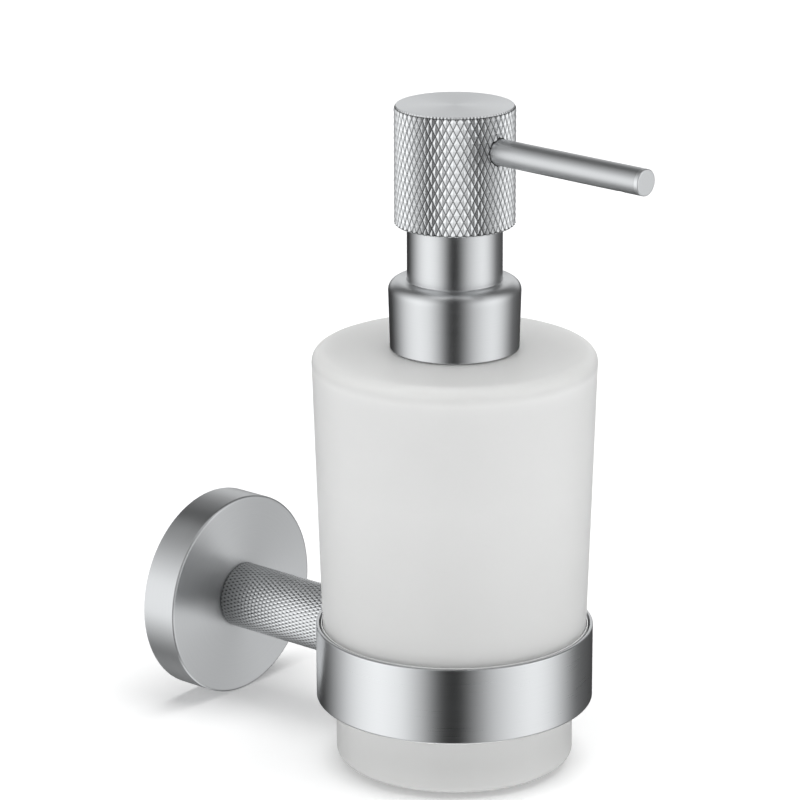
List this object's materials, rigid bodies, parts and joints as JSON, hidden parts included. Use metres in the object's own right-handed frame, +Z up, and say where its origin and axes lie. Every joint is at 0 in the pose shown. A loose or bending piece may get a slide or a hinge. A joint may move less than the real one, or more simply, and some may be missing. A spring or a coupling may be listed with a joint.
{
  "type": "wall mounted soap dispenser",
  "caption": "Frosted glass soap bottle with a knurled metal pump, held in a metal ring on a knurled arm with a round wall rosette.",
  "frame": {"origin": "centre of the two wall screw slots, on the wall plane and on the arm's axis", "axes": "+Y into the wall, +Z up along the bottle; the object stands out from the wall towards -Y"},
  "size_m": [0.071, 0.1436, 0.1698],
  "materials": {
    "satin_steel": "fine satin brushed",
    "screw_steel": "plain stainless",
    "zinc_plate": "plain turned",
    "spring_steel": "drawn wire",
    "frosted_glass": "acid frosted outside",
    "liner_plastic": "smooth moulded",
    "pump_plastic": "smooth moulded",
    "tube_plastic": "extruded, natural",
    "gasket_rubber": "soft matt"
  },
  "bodies": {
    "bracket": {"mounting_plate": "zinc_plate", "rosette": "satin_steel", "grub_screw": "screw_steel", "arm": "satin_steel", "locating_pin": "screw_steel", "arm_screw": "screw_steel", "arm_washer": "screw_steel", "holder_ring": "satin_steel", "ring_screw": "screw_steel", "ring_liner": "liner_plastic"},
    "bottle": {"bottle": "frosted_glass"},
    "pump": {"pump_housing": "pump_plastic", "neck_gasket": "gasket_rubber", "chaplet": "pump_plastic", "spring": "spring_steel", "ball_cage": "pump_plastic", "dip_tube": "tube_plastic"},
    "collar": {"collar": "satin_steel", "closure_cap": "pump_plastic"},
    "inlet_ball": {"inlet_ball": "screw_steel"},
    "plunger": {"stem": "pump_plastic", "piston_seat": "pump_plastic"},
    "piston": {"piston": "pump_plastic"},
    "head": {"head_core": "pump_plastic", "head_shell": "satin_steel", "spout_tube": "satin_steel", "spout_plug": "satin_steel"}
  },
  "joints": [
    {"name": "bottle_lift", "type": "slide", "parent": "bracket", "child": "bottle", "axis": [0, 0, 1], "range_m": [0, 0.04]},
    {"name": "pump_lift", "type": "slide", "parent": "bottle", "child": "pump", "axis": [0, 0, 1], "range_m": [0, 0.00636]},
    {"name": "collar_turn", "type": "hinge", "parent": "pump", "child": "collar", "pos_m": [0, -0.0831, 0.09], "axis": [0, 0, 1], "range_deg": [0, 540]},
    {"name": "ball_lift", "type": "slide", "parent": "pump", "child": "inlet_ball", "axis": [0, 0, 1], "range_m": [0, 0.0015]},
    {"name": "head_press", "type": "slide", "parent": "pump", "child": "plunger", "axis": [0, 0, -1], "range_m": [0, 0.012], "stiffness_N_per_m": 500, "springref_m": -0.008, "deforming": ["spring"]},
    {"name": "piston_float", "type": "slide", "parent": "plunger", "child": "piston", "axis": [0, 0, 1], "range_m": [0, 0.0012]},
    {"name": "head_swivel", "type": "hinge", "parent": "plunger", "child": "head", "pos_m": [0, -0.0831, 0.13], "axis": [0, 0, 1], "continuous": true}
  ],
  "couplings": [
    {"joint": "pump_lift", "follows": "collar_turn", "m_per_rad": 0.00067375}
  ]
}
